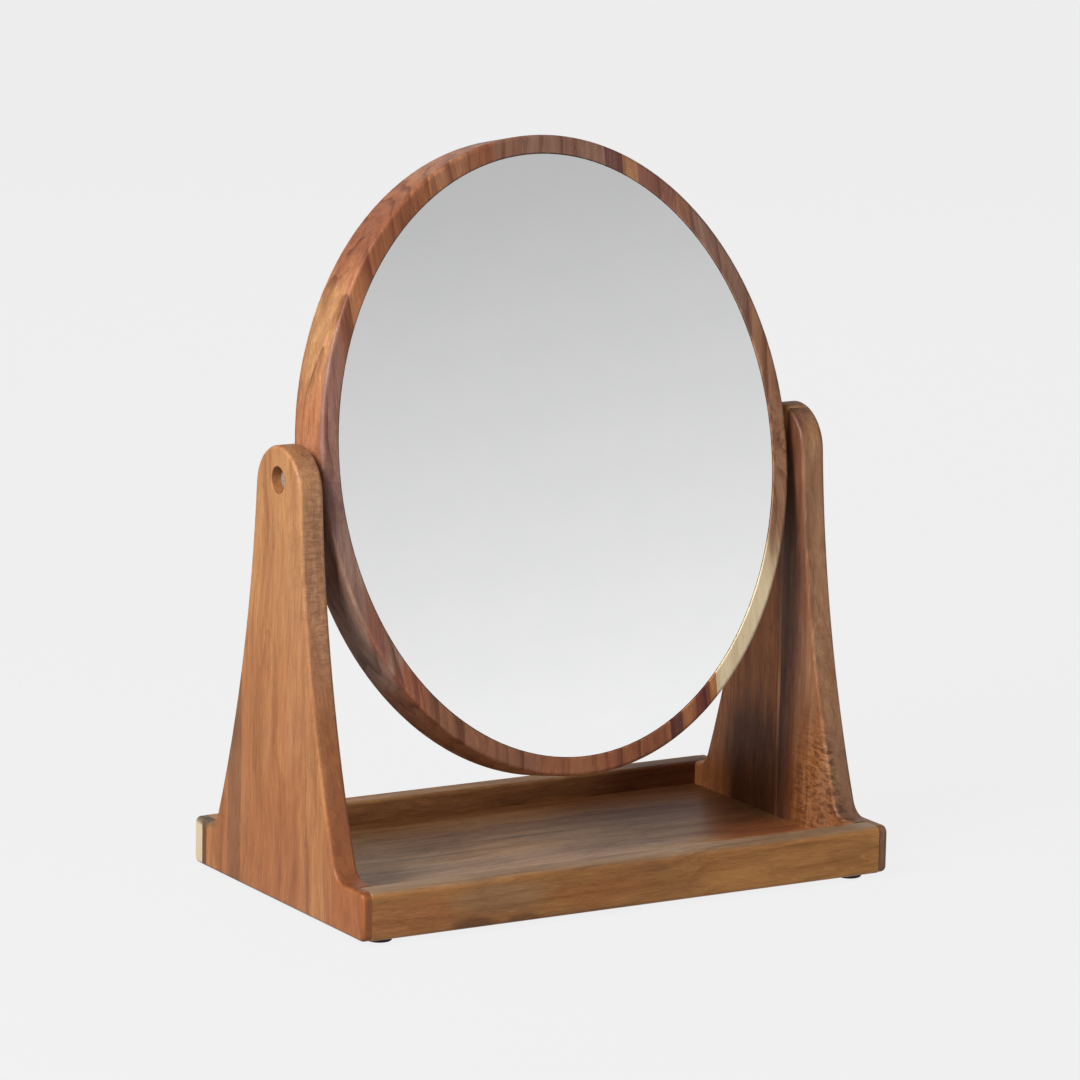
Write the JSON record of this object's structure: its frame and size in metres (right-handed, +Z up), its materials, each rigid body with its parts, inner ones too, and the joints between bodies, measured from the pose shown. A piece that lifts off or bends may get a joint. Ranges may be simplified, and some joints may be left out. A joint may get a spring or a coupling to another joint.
{
  "type": "tabletop tilting mirror",
  "caption": "Oval wooden-framed mirror that tilts on two bolts between flared wooden uprights, on a low wooden tray with rubber feet.",
  "frame": {"origin": "on the table, under the middle of the tray", "axes": "+X to the right of someone looking into the mirror, -Y towards them, +Z up"},
  "size_m": [0.275, 0.159, 0.3377],
  "materials": {
    "acacia_panel": "oiled acacia, satin, grain upright",
    "acacia_rail": "oiled acacia, satin, grain lengthwise",
    "acacia_ring": "oiled acacia, satin, laminated from upright staves",
    "tray_board": "oiled acacia veneer, satin",
    "beech": "plain planed",
    "plywood": "sanded face veneer",
    "mirror_glass": "polished silvered glass with a ground edge",
    "adhesive_foam": "closed-cell foam, matt",
    "nylon": "natural nylon",
    "fibre": "black friction washer",
    "zinc_steel": "bright zinc plated",
    "brass": "turned",
    "rubber": "moulded, matt"
  },
  "bodies": {
    "stand": {"side_panel_left": "acacia_panel", "side_panel_right": "acacia_panel", "front_rail": "acacia_rail", "back_rail": "acacia_rail", "tray_floor": "tray_board", "corner_dowels": "beech", "foot_front_left": "rubber", "foot_front_right": "rubber", "foot_back_left": "rubber", "foot_back_right": "rubber", "pivot_bush_left": "nylon", "pivot_bush_right": "nylon", "friction_washer_left": "fibre", "friction_washer_right": "fibre"},
    "mirror": {"mirror_frame": "acacia_ring", "mirror_glass": "mirror_glass", "adhesive_tape": "adhesive_foam", "foam_sheet": "adhesive_foam", "back_panel": "plywood", "back_panel_screws": "zinc_steel", "threaded_insert_left": "brass", "threaded_insert_right": "brass", "spacer_washer_left": "nylon", "spacer_washer_right": "nylon", "head_washer_left": "zinc_steel", "head_washer_right": "zinc_steel", "pivot_bolt_left": "zinc_steel", "pivot_bolt_right": "zinc_steel"}
  },
  "joints": [
    {"name": "mirror_tilt", "type": "hinge", "parent": "stand", "child": "mirror", "pos_m": [0, 0.003, 0.1935], "axis": [1, 0, 0], "continuous": true}
  ]
}
